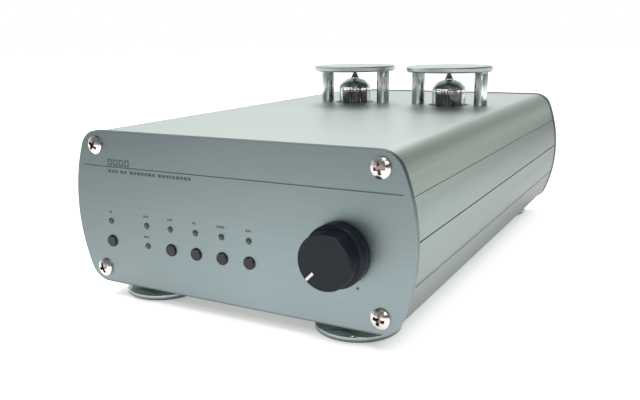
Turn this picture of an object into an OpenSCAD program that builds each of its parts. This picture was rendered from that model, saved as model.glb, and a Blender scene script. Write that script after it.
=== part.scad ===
// Desktop microphone preamp with two guarded valves on its top.
// X runs to the right of the front panel, Y runs from the front panel to the rear, Z is up.
// The pieces are drawn with y = 0 at the panel's face and z = 0 at its lower edge, then placed
// so that the origin is the middle of the footprint at the height that the feet stand on.

/* [Case] */
// Width of the front panel across its bulged sides
panel_w = 190; // [160:1:240]
// Height of the front panel
panel_h = 80; // [72:1:110]
// Front panel's face to the rear panel's outer face
case_depth = 292; // [262:1:380]
// Radius of the bulged sides
side_bulge_r = 88; // [70:1:130]
// Radius of the four corners
corner_r = 12; // [9:0.5:15]
// Thickness of the front panel
front_panel_t = 3; // [2.5:0.5:6]
// Thickness of the rear panel
rear_panel_t = 3; // [2:0.5:5]
// Wall of the two extruded shells
shell_wall = 2.5; // [2:0.1:3]
// How far the shells lie inside the panel's outline
shell_inset = 0.5; // [0.2:0.1:1]
// Height of the seam between the two shells
seam_h = 42; // [38:0.5:48]
// Height of the fine line across the front panel
panel_line_h = 62.1; // [58:0.1:66]
// How far that line stops short of the panel's sides
line_short = 3.5; // [0:0.5:8]
// Height of the groove along the top shell's sides
upper_groove_h = 60.9; // [58:0.1:66]
// Height of the groove along the bottom shell's sides
lower_groove_h = 22; // [18:0.5:26]
// Width of the fine lines
line_w = 0.5; // [0.3:0.1:1.2]
// Depth of the fine lines
line_d = 0.35; // [0.2:0.05:1]

/* [Panel screws] */
// Screws in from the panel's sides
screw_edge_x = 16; // [15:0.5:20]
// Screws in from the panel's top and lower edges
screw_edge_z = 7.5; // [7:0.5:10]
// Diameter of a panel screw's thread
screw_d = 4; // [3:0.5:5]
// Diameter of a panel screw's head
screw_head_d = 9.2; // [8:0.2:11]
// Height of a panel screw's head
screw_head_h = 2.6; // [2:0.1:3.2]
// Length of a panel screw under its head
screw_len = 14; // [10:1:20]

/* [Knob] */
// Knob's axis from the panel's right side
knob_edge_x = 35; // [30:0.5:45]
// Height of the knob's axis
knob_h = 33.8; // [30:0.1:44]
// Diameter of the knob's skirt
skirt_d = 28.4; // [26:0.2:36]
// Thickness of the skirt
skirt_t = 5.5; // [4:0.5:8]
// Diameter of the knob's grip
grip_d = 25; // [20:0.2:26]
// Length of the knob, skirt and grip
knob_len = 14.2; // [12:0.2:20]
// Diameter of the potentiometer's shaft
shaft_d = 6; // [5:0.5:6.5]

/* [Buttons and lamps] */
// Diameter of a button
button_d = 6; // [5:0.2:8]
// How far a button stands out of the panel
button_proud = 1.1; // [1:0.1:3]
// How far a button travels
button_travel = 0.8; // [0.5:0.1:1]
// Height of the row of buttons
button_h = 22.7; // [20:0.1:30]
// Height of the row of lamps over the buttons
lamp_h = 33.3; // [32:0.1:50]
// Diameter of a lamp
lamp_d = 3; // [2:0.5:5]
// Power button from the panel's left side
power_edge_x = 22.4; // [20:0.1:30]
// First of the four mode buttons from the panel's left side
mode_edge_x = 61.5; // [56:0.1:70]
// Spacing of the mode buttons
mode_pitch = 15.45; // [12:0.05:16]
// Level lamps from the panel's left side
level_edge_x = 46.3; // [38:0.1:48]

/* [Valves] */
// Front panel's face to the middle of the valves
valve_y = 191; // [160:1:240]
// Middle of the pair of valves, right of the case's middle
pair_x = 9; // [-10:0.5:15]
// Distance between the two valves
valve_pitch = 68; // [62:1:76]
// Diameter of a valve's glass
glass_d = 22; // [19:0.2:24]
// Height of a valve over its socket, without its tip
glass_len = 44; // [40:0.5:52]
// Length of the sealed tip on top of a valve
glass_tip = 4.7; // [3:0.1:6]
// Wall of the glass
glass_wall = 1; // [0.8:0.1:1.4]
// Gap between a valve's tip and the disc over it
tip_gap = 0.4; // [0.4:0.1:6]

/* [Valve guards] */
// Diameter of a guard's disc
guard_d = 55.2; // [54:0.2:62]
// Thickness of a guard's disc
guard_t = 3.4; // [3:0.2:6]
// Height of a guard's posts
guard_post_h = 21.4; // [18:0.2:30]
// Diameter of a guard's posts
guard_post_d = 8.4; // [7:0.2:10]
// A post's distance from the valve's axis
guard_post_x = 21.2; // [19:0.1:23]

/* [Feet] */
// Diameter of a foot
foot_d = 41; // [30:1:46]
// Height of a foot with its pad
foot_h = 8.5; // [8:0.5:14]
// A foot's distance from the middle of the case
foot_x = 58; // [45:1:66]
// Front panel's face to the front feet
foot_front_y = 22; // [22:1:60]
// Rear panel's face to the rear feet
foot_rear_y = 24; // [24:1:60]

/* [Sockets] */
// Hole for an XLR socket
xlr_hole_d = 24; // [22:0.5:25]
// Flange of an XLR socket, width
xlr_flange_w = 26; // [26:0.5:28]
// Flange of an XLR socket, height
xlr_flange_h = 31; // [31:0.5:34]
// Middle of the microphone input from the case's middle
mic_x = 40; // [36:1:60]
// Middle of the line output from the case's middle
line_x = 6; // [0:1:8]
// Middle of the jack socket from the case's middle
jack_x = -20; // [-28:1:-16]
// Middle of the mains inlet from the case's middle
inlet_x = -54; // [-56:1:-50]
// Height of the sockets' middle line
socket_h = 40; // [34:0.5:46]

/* [Boards] */
// Thickness of the circuit boards
board_t = 1.6; // [1:0.1:2]
// Front panel's back to the front board
front_board_gap = 10; // [9:0.5:14]
// Underside of the main board above the panel's lower edge
main_board_h = 9; // [8:0.5:14]
// Diameter of the mains transformer
transformer_d = 53; // [40:1:54]
// Height of the mains transformer
transformer_h = 30; // [24:1:36]

/* [Clearances] */
// Running clearance on the radius of a button or a shaft
run_gap = 0.1; // [0.08:0.01:0.2]
// Clearance on the radius of a screw or a press-in piece
fit_gap = 0.05; // [0.03:0.01:0.1]
// Gap between faces that move past each other
face_gap = 0.3; // [0.2:0.1:0.5]

/* [Hidden] */

$fn = 48;
eps = 0.01;
arc_steps = 14;
corner_steps = 9;

half_w = panel_w / 2;
mid_h = panel_h / 2;

// Points along an arc, in degrees from a0 to a1.
function arc(cx, cy, r, a0, a1, n) =
    [for (i = [0 : n]) let (a = a0 + (a1 - a0) * i / n) [cx + r * cos(a), cy + r * sin(a)]];

// The case's cross-section, drawn in by d: bulged sides, rounded corners, flat top and floor.
side_cx = half_w - side_bulge_r;
corner_cz = mid_h - corner_r;
corner_cx = side_cx + sqrt(pow(side_bulge_r - corner_r, 2) - pow(corner_cz, 2));
side_a = atan2(corner_cz, corner_cx - side_cx);
function quarter(d) = concat(
    arc(side_cx, 0, side_bulge_r - d, 0, side_a, arc_steps),
    arc(corner_cx, corner_cz, corner_r - d, side_a + (90 - side_a) / corner_steps, 90, corner_steps - 1));
function turned(points, sx, sz) = [for (p = points) [sx * p[0], sz * p[1]]];
function backwards(points) = [for (i = [len(points) - 1 : -1 : 0]) points[i]];
function trimmed(points) = [for (i = [1 : len(points) - 1]) points[i]];
function outline(d) = concat(
    quarter(d),
    backwards(trimmed(turned(quarter(d), -1, 1))),
    turned(quarter(d), -1, -1),
    backwards(trimmed(turned(quarter(d), 1, -1))));
function half_width_at(z, d) = side_cx + sqrt(pow(side_bulge_r - d, 2) - pow(z - mid_h, 2));

// Extrudes a drawing of the case's cross-section from y0 to y1.
module along_y(y0, y1) {
    translate([0, y1, 0]) rotate([90, 0, 0]) linear_extrude(y1 - y0) children();
}
module section(d) {
    translate([0, mid_h]) polygon(outline(d));
}
// A cylinder along Y from y0 to y1.
module rod_y(x, z, d, y0, y1) {
    translate([x, y1, z]) rotate([90, 0, 0]) cylinder(d = d, h = y1 - y0);
}
// A turned solid along Y: its profile has the radius first and the distance towards the rear second.
module turned_y(x, z, y = 0) {
    translate([x, y, z]) rotate([-90, 0, 0]) rotate_extrude() children();
}
module box(x0, x1, y0, y1, z0, z1) {
    translate([x0, y0, z0]) cube([x1 - x0, y1 - y0, z1 - z0]);
}

// Where the object stands, worked out from what sticks out furthest.
knob_back = 0.8;
knob_front_y = -knob_back - knob_len;
xlr_flange_t = 2.2;
socket_screw_head_h = 1.6;
inlet_flange_t = 3;
fuse_grip = 1.6;
latch_travel = 1.5;
latch_head_t = 1.4;
latch_out = face_gap + latch_travel + latch_head_t;
rear_y = case_depth + max(inlet_flange_t + fuse_grip, xlr_flange_t + latch_out, screw_head_h);
module place() {
    translate([0, -(knob_front_y + rear_y) / 2, foot_h]) children();
}

// Places worked out from the driving sizes.
shell_y0 = front_panel_t;
shell_y1 = case_depth - rear_panel_t;
shell_top = panel_h - shell_inset;
shell_roof = shell_top - shell_wall;
shell_floor = shell_inset + shell_wall;
screw_x = half_w - screw_edge_x;
screw_places = [for (x = [-screw_x, screw_x], z = [screw_edge_z, panel_h - screw_edge_z]) [x, z]];
knob_x = half_w - knob_edge_x;
power_x = -half_w + power_edge_x;
level_x = -half_w + level_edge_x;
mode_x = [for (i = [0 : 3]) -half_w + mode_edge_x + i * mode_pitch];
button_x = concat([power_x], mode_x);
valve_x = [pair_x - valve_pitch / 2, pair_x + valve_pitch / 2];
level_lamp_drop = 10.5;
lamp_places = concat(
    [[power_x, lamp_h], [level_x, lamp_h], [level_x, lamp_h - level_lamp_drop]],
    [for (x = mode_x) [x, lamp_h]]);
front_board_y = front_panel_t + front_board_gap;
valve_board_y = [valve_y - 16, valve_y + 16];
inlet_depth = 24;
inlet_back = case_depth - inlet_depth;
transformer_y = (valve_board_y[1] + inlet_back) / 2;

// Screws. The head is turned with a domed face, and the recess is a cross of two tapered slots.
function dome(r, h, t, n) = let (rise = h - t, big = (r * r + rise * rise) / (2 * rise), a = asin(r / big))
    [for (i = [0 : n]) [big * sin(a * (n - i) / n), t + big * cos(a * (n - i) / n) - (big - rise)]];
module cross_recess(r, depth) {
    slot_w = r * 0.34;
    for (a = [0, 90]) rotate([0, 0, a]) translate([-r * 0.58, -slot_w / 2, -depth])
        cube([r * 1.16, slot_w, depth + r]);
}
// Stands on z = 0 with its head up and its shank down.
module pan_screw(d, head_d, head_h, length, turn = 0) {
    rim = head_h * 0.35;
    difference() {
        union() {
            rotate_extrude() polygon(concat([[0, 0], [head_d / 2, 0]], dome(head_d / 2, head_h, rim, 8)));
            translate([0, 0, -length]) cylinder(d = d, h = length + eps);
        }
        translate([0, 0, head_h]) rotate([0, 0, turn]) cross_recess(head_d / 2, head_h * 0.7);
    }
}
module front_facing() { rotate([90, 0, 0]) children(); }
module rear_facing() { rotate([-90, 0, 0]) children(); }

module front_screws() {
    turns = [20, 55, 78, 8];
    color("silver") for (i = [0 : 3]) let (p = screw_places[i])
        translate([p[0], 0, p[1]]) front_facing()
            pan_screw(screw_d, screw_head_d, screw_head_h, screw_len, turns[i]);
}
module rear_screws() {
    turns = [40, 12, 66, 30];
    color("silver") for (i = [0 : 3]) let (p = screw_places[i])
        translate([p[0], case_depth, p[1]]) rear_facing()
            pan_screw(screw_d, screw_head_d, screw_head_h, screw_len, turns[i]);
}
module screw_holes(y0, y1) {
    for (p = screw_places) rod_y(p[0], p[1], screw_d + 2 * fit_gap, y0, y1);
}

// Front panel
pot_bush_d = 9;
bush_hole = pot_bush_d + 2 * fit_gap;
line_end = half_width_at(panel_line_h, 0) - line_short;
module front_panel() {
    color([0.57, 0.64, 0.65]) difference() {
        along_y(0, front_panel_t) section(0);
        screw_holes(-1, front_panel_t + 1);
        rod_y(knob_x, knob_h, bush_hole, -1, front_panel_t + 1);
        for (x = button_x) rod_y(x, button_h, button_d + 2 * run_gap, -1, front_panel_t + 1);
        for (p = lamp_places) rod_y(p[0], p[1], lamp_d + 2 * fit_gap, -1, front_panel_t + 1);
        box(-line_end, line_end, -1, line_d, panel_line_h - line_w / 2, panel_line_h + line_w / 2);
    }
}

// Shells: two extruded halves with a screw channel in each corner
channel_d = 10;
module shell_body(z0, z1) {
    difference() {
        intersection() {
            along_y(shell_y0, shell_y1) union() {
                difference() {
                    section(shell_inset);
                    section(shell_inset + shell_wall);
                }
                intersection() {
                    section(shell_inset + shell_wall / 2);
                    for (p = screw_places) translate(p) circle(d = channel_d);
                }
            }
            box(-half_w, half_w, 0, case_depth, z0, z1);
        }
        screw_holes(shell_y0 - 1, shell_y1 + 1);
    }
}
module side_groove(z) {
    for (s = [-1, 1]) {
        outer = half_width_at(z, shell_inset);
        box(min(s * (outer - line_d), s * (outer + 2)), max(s * (outer - line_d), s * (outer + 2)),
            shell_y0 - 1, shell_y1 + 1, z - line_w / 2, z + line_w / 2);
    }
}
valve_hole_d = glass_d + 4;
guard_screw_d = 4;
module top_shell() {
    color([0.78, 0.82, 0.81]) difference() {
        shell_body(seam_h, panel_h);
        side_groove(upper_groove_h);
        side_groove(seam_h);
        for (x = valve_x) {
            translate([x, valve_y, shell_roof - 1]) cylinder(d = valve_hole_d, h = shell_wall + 2);
            for (s = [-1, 1]) translate([x + s * guard_post_x, valve_y, shell_roof - 1])
                cylinder(d = guard_screw_d + 2 * fit_gap, h = shell_wall + 2);
        }
    }
}
foot_screw_d = 4;
foot_y = [foot_front_y, case_depth - foot_rear_y];
board_screw_d = 3;
board_screw_head_d = 5.5;
board_screw_head_h = 2;
board_screw_len = 6;
module board_screw() {
    pan_screw(board_screw_d, board_screw_head_d, board_screw_head_h, board_screw_len);
}
module bottom_shell() {
    color([0.66, 0.71, 0.7]) difference() {
        shell_body(0, seam_h);
        side_groove(seam_h);
        side_groove(lower_groove_h);
        for (x = [-foot_x, foot_x], y = foot_y) translate([x, y, -1])
            cylinder(d = foot_screw_d + 2 * fit_gap, h = shell_floor + 2);
        translate([transformer_x, transformer_y, -1])
            cylinder(d = transformer_bolt_d + 2 * fit_gap, h = shell_floor + 2);
    }
}

// Rear panel
jack_d = 12;
inlet_w = 28;
inlet_h = 32;
inlet_flange_w = 34;
inlet_flange_h = 38;
module rear_panel() {
    color([0.6, 0.66, 0.66]) difference() {
        along_y(shell_y1, case_depth) section(0);
        screw_holes(shell_y1 - 1, case_depth + 1);
        for (x = [mic_x, line_x]) {
            rod_y(x, socket_h, xlr_hole_d, shell_y1 - 1, case_depth + 1);
            for (s = [-1, 1]) rod_y(x + s * xlr_screw_x, socket_h + s * xlr_screw_z,
                xlr_screw_d + 2 * fit_gap, shell_y1 - 1, case_depth + 1);
        }
        rod_y(jack_x, socket_h, jack_d + 2 * fit_gap, shell_y1 - 1, case_depth + 1);
        box(inlet_x - inlet_w / 2 - fit_gap, inlet_x + inlet_w / 2 + fit_gap, shell_y1 - 1, case_depth + 1,
            socket_h - inlet_h / 2 - fit_gap, socket_h + inlet_h / 2 + fit_gap);
    }
}

// Gain knob on its potentiometer
nut_recess_d = 16;
nut_recess_t = 4.2;
set_screw_d = 3;
pointer_w = 1.2;
pointer_len = 4.8;
pointer_d = 0.4;
pointer_a = 225;
grip_chamfer = 0.4;
skirt_chamfer = 0.4;
pointer_end = grip_d / 2 - grip_chamfer - 0.1;
shaft_front = knob_front_y + 2.5;
skirt_front = -knob_back - skirt_t;
module knob_turned() {
    r = grip_d / 2;
    s = skirt_d / 2;
    turned_y(knob_x, knob_h) polygon([[0, knob_front_y], [r - grip_chamfer, knob_front_y],
        [r, knob_front_y + grip_chamfer], [r, skirt_front - skirt_chamfer], [s - skirt_chamfer, skirt_front],
        [s, skirt_front + skirt_chamfer], [s, -knob_back], [0, -knob_back]]);
}
// Draws at the pointer's place, with the knob's axis at the origin and clockwise turns positive.
module at_pointer() {
    translate([knob_x, 0, knob_h]) rotate([0, pointer_a, 0]) children();
}
module pointer_bar(extra) {
    at_pointer() box(-pointer_w / 2, pointer_w / 2, knob_front_y - extra, knob_front_y + pointer_d,
        pointer_end - pointer_len, pointer_end);
}
module gain_knob() {
    color([0.13, 0.13, 0.15]) difference() {
        knob_turned();
        rod_y(knob_x, knob_h, shaft_d + 2 * fit_gap, shaft_front - fit_gap, 1);
        rod_y(knob_x, knob_h, nut_recess_d, -knob_back - nut_recess_t, 1);
        pointer_bar(1);
        at_pointer() translate([0, set_screw_y, 0]) cylinder(d = set_screw_d + 2 * fit_gap, h = skirt_d);
    }
}
module knob_pointer() {
    color("white") pointer_bar(0);
}
set_screw_y = (skirt_front + knob_front_y) / 2 + 0.6;
set_screw_len = 6;
module knob_set_screw() {
    color("dimgray") at_pointer() translate([0, set_screw_y, shaft_d / 2]) difference() {
        cylinder(d = set_screw_d, h = set_screw_len);
        translate([0, 0, set_screw_len - 1.5]) cylinder(d = 1.5, h = 2, $fn = 6);
    }
}
pot_body_d = 17;
shaft_back = front_panel_t + 6;
module pot_shaft() {
    color("silver") rod_y(knob_x, knob_h, shaft_d, shaft_front, shaft_back);
}
module gain_pot() {
    color("slategray") difference() {
        union() {
            rod_y(knob_x, knob_h, pot_body_d, front_panel_t, front_board_y);
            rod_y(knob_x, knob_h, pot_bush_d, -bush_proud, front_panel_t + 1);
        }
        rod_y(knob_x, knob_h, shaft_d + 2 * run_gap, -bush_proud - 1, shaft_back + face_gap);
    }
}
bush_proud = 3.6;
washer_t = 0.5;
pot_nut_t = 2;
module pot_washer() {
    color("silver") difference() {
        rod_y(knob_x, knob_h, 14, -washer_t, 0);
        rod_y(knob_x, knob_h, bush_hole, -1, 1);
    }
}
module pot_nut() {
    color("silver") difference() {
        translate([knob_x, -washer_t, knob_h]) rotate([90, 0, 0]) cylinder(d = 14, h = pot_nut_t, $fn = 6);
        rod_y(knob_x, knob_h, bush_hole, -washer_t - pot_nut_t - 1, 1);
    }
}

// Buttons: a cap with a collar that stops it behind the panel, on a plunger in its switch
collar_d = button_d + 2;
collar_t = 1;
collar_y = front_panel_t + face_gap;
plunger_d = 2.6;
switch_w = 7;
switch_y = front_panel_t + 4.5;
plunger_back = switch_y + 2;
module button(i) {
    r = button_d / 2;
    color([0.07, 0.07, 0.08]) {
        turned_y(button_x[i], button_h) polygon([[0, -button_proud], [r - 0.4, -button_proud],
            [r, -button_proud + 0.4], [r, collar_y], [collar_d / 2, collar_y],
            [collar_d / 2, collar_y + collar_t], [plunger_d / 2, collar_y + collar_t],
            [plunger_d / 2, plunger_back], [0, plunger_back]]);
    }
}
module power_button() { button(0); }
module phantom_button() { button(1); }
module pad_button() { button(2); }
module phase_button() { button(3); }
module low_cut_button() { button(4); }
module button_switches() {
    color([0.2, 0.2, 0.2]) for (x = button_x) difference() {
        box(x - switch_w / 2, x + switch_w / 2, switch_y, front_board_y,
            button_h - switch_w / 2, button_h + switch_w / 2);
        rod_y(x, button_h, plunger_d + 2 * run_gap, switch_y - 1, plunger_back + button_travel + face_gap);
    }
}

// Lamps: round-nosed, each with a flange and two legs to the front board
module lamp(x, z) {
    r = lamp_d / 2;
    body_back = front_panel_t + 1.2;
    turned_y(x, z) polygon(concat([[0, body_back], [r, body_back], [r, 0]],
        [for (i = [1 : 8]) let (a = 90 * i / 8) [r * cos(a), -0.7 * r * sin(a)]]));
    for (s = [-1, 1]) box(x + s * 0.8 - 0.25, x + s * 0.8 + 0.25, body_back, front_board_y,
        z - 0.25, z + 0.25);
}
module power_lamp() { color([0.2, 0.3, 0.2]) lamp(lamp_places[0][0], lamp_places[0][1]); }
module level_lamps() { color([0.2, 0.3, 0.2]) for (i = [1, 2]) lamp(lamp_places[i][0], lamp_places[i][1]); }
module mode_lamps() { color([0.2, 0.3, 0.2]) for (i = [3 : 6]) lamp(lamp_places[i][0], lamp_places[i][1]); }

// Front board on standoffs that are pressed into the panel's back
front_board_x = half_w - 22;
front_board_z = [button_h - 8, lamp_h + 19];
standoff_d = 6;
front_post_places = [for (x = [-front_board_x + 8, front_board_x - 8]) [x, front_board_z[1] - 5]];
module front_board() {
    color([0.1, 0.35, 0.2]) difference() {
        box(-front_board_x - 5, front_board_x, front_board_y, front_board_y + board_t,
            front_board_z[0], front_board_z[1]);
        for (p = front_post_places)
            rod_y(p[0], p[1], board_screw_d + 2 * fit_gap, front_board_y - 1, front_board_y + board_t + 1);
    }
}
module front_standoffs() {
    color("gold") for (p = front_post_places) difference() {
        rod_y(p[0], p[1], standoff_d, front_panel_t, front_board_y);
        rod_y(p[0], p[1], board_screw_d + 2 * fit_gap, front_board_y - 5.5, front_board_y + 1);
    }
}
module front_board_screws() {
    color("silver") for (p = front_post_places) translate([p[0], front_board_y + board_t, p[1]])
        rear_facing() board_screw();
}

// Main board on standoffs from the floor
main_board_x = 72;
main_board_y = [34, 136];
board_inset = 5;
main_post_places = [for (x = [-main_board_x + board_inset, main_board_x - board_inset],
    y = [main_board_y[0] + board_inset, main_board_y[1] - board_inset]) [x, y]];
main_board_top = main_board_h + board_t;
module board_on_floor(x0, x1, y0, y1, z, posts) {
    difference() {
        box(x0, x1, y0, y1, z, z + board_t);
        for (p = posts) translate([p[0], p[1], z - 1])
            cylinder(d = board_screw_d + 2 * fit_gap, h = board_t + 2);
    }
}
module floor_posts(posts, z) {
    for (p = posts) difference() {
        translate([p[0], p[1], shell_floor]) cylinder(d = standoff_d, h = z - shell_floor);
        translate([p[0], p[1], z - 5.2]) cylinder(d = board_screw_d + 2 * fit_gap, h = 6);
    }
}
module post_screws(posts, z) {
    for (p = posts) translate([p[0], p[1], z + board_t]) board_screw();
}
module main_board() {
    color([0.1, 0.35, 0.2]) board_on_floor(-main_board_x, main_board_x, main_board_y[0], main_board_y[1],
        main_board_h, main_post_places);
}
module main_standoffs() { color("gold") floor_posts(main_post_places, main_board_h); }
module main_board_screws() { color("silver") post_screws(main_post_places, main_board_h); }
relay_size = [10, 20, 11];
relay_x = [for (i = [0 : 3]) -52 + i * 22];
relay_y = main_board_y[0] + 8;
module mode_relays() {
    color([0.1, 0.1, 0.12]) for (x = relay_x) box(x, x + relay_size[0], relay_y, relay_y + relay_size[1],
        main_board_top, main_board_top + relay_size[2]);
}
film_size = [26, 12, 20];
film_x = [for (i = [0 : 2]) -58 + i * 34];
film_y = relay_y + relay_size[1] + 10;
module film_capacitors() {
    color([0.7, 0.15, 0.1]) for (x = film_x) box(x, x + film_size[0], film_y, film_y + film_size[1],
        main_board_top, main_board_top + film_size[2]);
}
reservoir_d = 22;
reservoir_len = 40;
reservoir_x = [for (i = [0 : 2]) -52 + i * 27];
reservoir_y = main_board_y[1] - 20;
module reservoir_capacitors() {
    color([0.12, 0.14, 0.25]) for (x = reservoir_x) translate([x, reservoir_y, main_board_top])
        rotate_extrude() polygon([[0, 0], [reservoir_d / 2, 0], [reservoir_d / 2, 2.5],
            [reservoir_d / 2 - 0.6, 3.2], [reservoir_d / 2, 3.9], [reservoir_d / 2, reservoir_len - 0.8],
            [reservoir_d / 2 - 0.8, reservoir_len], [0, reservoir_len]]);
}

// Toroidal mains transformer under a dished plate and one bolt
transformer_x = -44;
transformer_bolt_d = 6;
core_hole_d = 20;
transformer_top = shell_floor + transformer_h;
module mains_transformer() {
    r0 = core_hole_d / 2;
    r1 = transformer_d / 2;
    soft = 4;
    color([0.75, 0.6, 0.25]) translate([transformer_x, transformer_y, shell_floor]) rotate_extrude()
        polygon(concat([[r0 + soft, 0]], arc(r1 - soft, soft, soft, -90, 0, 5),
            arc(r1 - soft, transformer_h - soft, soft, 0, 90, 5),
            arc(r0 + soft, transformer_h - soft, soft, 90, 180, 5),
            arc(r0 + soft, soft, soft, 180, 260, 5)));
}
module transformer_plate() {
    color("silver") translate([transformer_x, transformer_y, transformer_top]) difference() {
        cylinder(d = transformer_d - 14, h = 1.5);
        translate([0, 0, -1]) cylinder(d = transformer_bolt_d + 2 * fit_gap, h = 4);
    }
}
module transformer_bolt() {
    color("silver") translate([transformer_x, transformer_y, 0]) union() {
        translate([0, 0, shell_inset]) cylinder(d = transformer_bolt_d, h = transformer_top + 5 - shell_inset);
        translate([0, 0, transformer_top + 1.5]) cylinder(d = 10, h = 3.4, $fn = 6);
    }
}

// Valve board, its sockets and the valves
socket_len = 10;
valve_foot_z = shell_top + guard_post_h - tip_gap - glass_tip - glass_len;
valve_board_z = valve_foot_z - socket_len - board_t;
valve_board_x = [valve_x[0] - 18, valve_x[1] + 16];
valve_post_places = [for (x = [valve_board_x[0] + 5, valve_board_x[1] - 5],
    y = [valve_board_y[0] + 4, valve_board_y[1] - 4]) [x, y]];
pin_count = 9;
pin_circle_r = 5.95;
pin_d = 1;
pin_len = 7;
module at_valves() {
    for (x = valve_x) translate([x, valve_y, valve_foot_z]) children();
}
module pin_ring() {
    for (i = [0 : pin_count - 1]) rotate([0, 0, 36 * (i + 1)]) translate([0, -pin_circle_r, 0]) children();
}
module valve_board() {
    color([0.1, 0.35, 0.2]) board_on_floor(valve_board_x[0], valve_board_x[1], valve_board_y[0],
        valve_board_y[1], valve_board_z, valve_post_places);
}
module valve_standoffs() { color("gold") floor_posts(valve_post_places, valve_board_z); }
module valve_board_screws() { color("silver") post_screws(valve_post_places, valve_board_z); }
module valve_sockets() {
    color([0.9, 0.89, 0.85]) at_valves() difference() {
        translate([0, 0, -socket_len]) cylinder(d = glass_d, h = socket_len);
        pin_ring() translate([0, 0, -pin_len - 0.5]) cylinder(d = pin_d + 2 * fit_gap, h = pin_len + 1);
        translate([0, 0, -socket_len - 1]) cylinder(d = 5, h = socket_len + 2);
    }
}
module valve_pins() {
    color("silver") at_valves() pin_ring() translate([0, 0, -pin_len]) cylinder(d = pin_d, h = pin_len);
}
// Outer outline of the glass, drawn in by d: a tube, a domed shoulder and a drawn-out tip.
shoulder_h = 7;
tip_r = 2.9;
function glass_outline(d) = let (r = glass_d / 2 - d, top = glass_len - d, drop = shoulder_h - d / 2,
        end = asin(tip_r / (r + eps)))
    concat([[0, d]], arc(r - 1.5, d + 1.5, 1.5, -90, 0, 4),
        [for (i = [0 : 10]) let (a = (90 - end) * i / 10) [r * cos(a), top - drop + drop * sin(a)]],
        [[tip_r * (1 - 0.12 * d) * 0.72, top + glass_tip * 0.3 - d],
         [tip_r * 0.4 * (1 - 0.3 * d), top + glass_tip * 0.75 - d], [0, top + glass_tip - 1.5 * d]]);
module valve_glass(i) {
    color([0.85, 0.9, 0.9, 0.4]) translate([valve_x[i], valve_y, valve_foot_z]) difference() {
        rotate_extrude() polygon(glass_outline(0));
        rotate_extrude() polygon(glass_outline(glass_wall));
    }
}
module left_valve_glass() { valve_glass(0); }
module right_valve_glass() { valve_glass(1); }
inner_r = glass_d / 2 - glass_wall - face_gap;
spacer_t = 0.4;
spacer_z = [5, glass_len - shoulder_h - 2];
anode_z = [spacer_z[0] + spacer_t, spacer_z[1]];
anode_w = 6.4;
anode_depth = 9;
anode_wall = 0.5;
module valve_anodes() {
    color([0.25, 0.25, 0.27]) at_valves() for (s = [-1, 1]) translate([s * 4.2, 0, anode_z[0]]) difference() {
        translate([-anode_w / 2, -anode_depth / 2, 0]) cube([anode_w, anode_depth, anode_z[1] - anode_z[0]]);
        translate([-anode_w / 2 + anode_wall, -anode_depth / 2 + anode_wall, -1])
            cube([anode_w - 2 * anode_wall, anode_depth - 2 * anode_wall, anode_z[1] - anode_z[0] + 2]);
    }
}
module valve_spacers() {
    color([0.9, 0.88, 0.8]) at_valves() for (z = spacer_z) translate([0, 0, z]) linear_extrude(spacer_t)
        polygon([for (i = [0 : 47]) let (r = i % 4 < 2 ? inner_r : inner_r - 1)
            [r * cos(i * 7.5), r * sin(i * 7.5)]]);
}
getter_z = glass_len - 4.2;
module valve_getters() {
    stem_z = spacer_z[1] + spacer_t;
    color([0.5, 0.45, 0.4]) at_valves() {
        translate([0, 0, getter_z]) difference() {
            cylinder(d = 9, h = 1);
            translate([0, 0, -1]) cylinder(d = 7, h = 3);
        }
        box(3.6, 4.4, -0.4, 0.4, stem_z, getter_z);
    }
}

// Guards: a disc over each valve on two posts
guard_z = shell_top + guard_post_h;
guard_edge = 0.8;
module guard_disc(i) {
    r = guard_d / 2;
    color("silver") translate([valve_x[i], valve_y, guard_z]) rotate_extrude()
        polygon([[0, 0], [r - guard_edge, 0], [r, guard_edge], [r, guard_t - guard_edge],
            [r - guard_edge, guard_t], [0, guard_t]]);
}
module left_guard_disc() { guard_disc(0); }
module right_guard_disc() { guard_disc(1); }
guard_places = [for (x = valve_x, s = [-1, 1]) [x + s * guard_post_x, valve_y]];
module guard_posts() {
    color("silver") for (p = guard_places) difference() {
        translate([p[0], p[1], shell_top]) cylinder(d = guard_post_d, h = guard_post_h);
        translate([p[0], p[1], shell_top - 1]) cylinder(d = guard_screw_d + 2 * fit_gap, h = 10);
    }
}
module guard_screws() {
    color("silver") for (p = guard_places) translate([p[0], p[1], shell_roof]) rotate([180, 0, 0])
        pan_screw(guard_screw_d, 7, 2.2, shell_wall + 7);
}

// Feet: turned and polished, with a soft pad let into the underside
pad_d = 30;
pad_sunk = 1.4;
pad_proud = 0.6;
foot_neck = 1.2;
foot_edge = 0.8;
foot_rim = 2.8;
foot_waist = 5;
foot_top = shell_inset;
foot_under = -foot_h + pad_proud;
foot_screw_head_d = 8;
foot_screw_head_h = 2.4;
foot_bore_z = foot_under + pad_sunk + foot_screw_head_h + 0.4;
module at_feet() {
    for (x = [-foot_x, foot_x], y = foot_y) translate([x, y, 0]) children();
}
module feet() {
    r = foot_d / 2;
    color("gainsboro") at_feet() difference() {
        rotate_extrude() polygon([[0, foot_under], [r - foot_edge, foot_under], [r, foot_under + foot_edge],
            [r, foot_under + foot_rim], [r - foot_edge, foot_under + foot_rim + foot_edge],
            [r - foot_waist + 1, -foot_neck - 0.6], [r - foot_waist, -foot_neck],
            [r - foot_waist, foot_top], [0, foot_top]]);
        translate([0, 0, foot_under - 1]) cylinder(d = pad_d + 2 * fit_gap, h = pad_sunk + 1);
        translate([0, 0, foot_under]) cylinder(d = foot_screw_head_d + 1, h = foot_bore_z - foot_under);
        translate([0, 0, foot_under]) cylinder(d = foot_screw_d + 2 * fit_gap, h = foot_h + 5);
    }
}
module foot_pads() {
    color([0.1, 0.1, 0.1]) at_feet() translate([0, 0, -foot_h]) cylinder(d = pad_d, h = pad_proud + pad_sunk);
}
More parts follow.
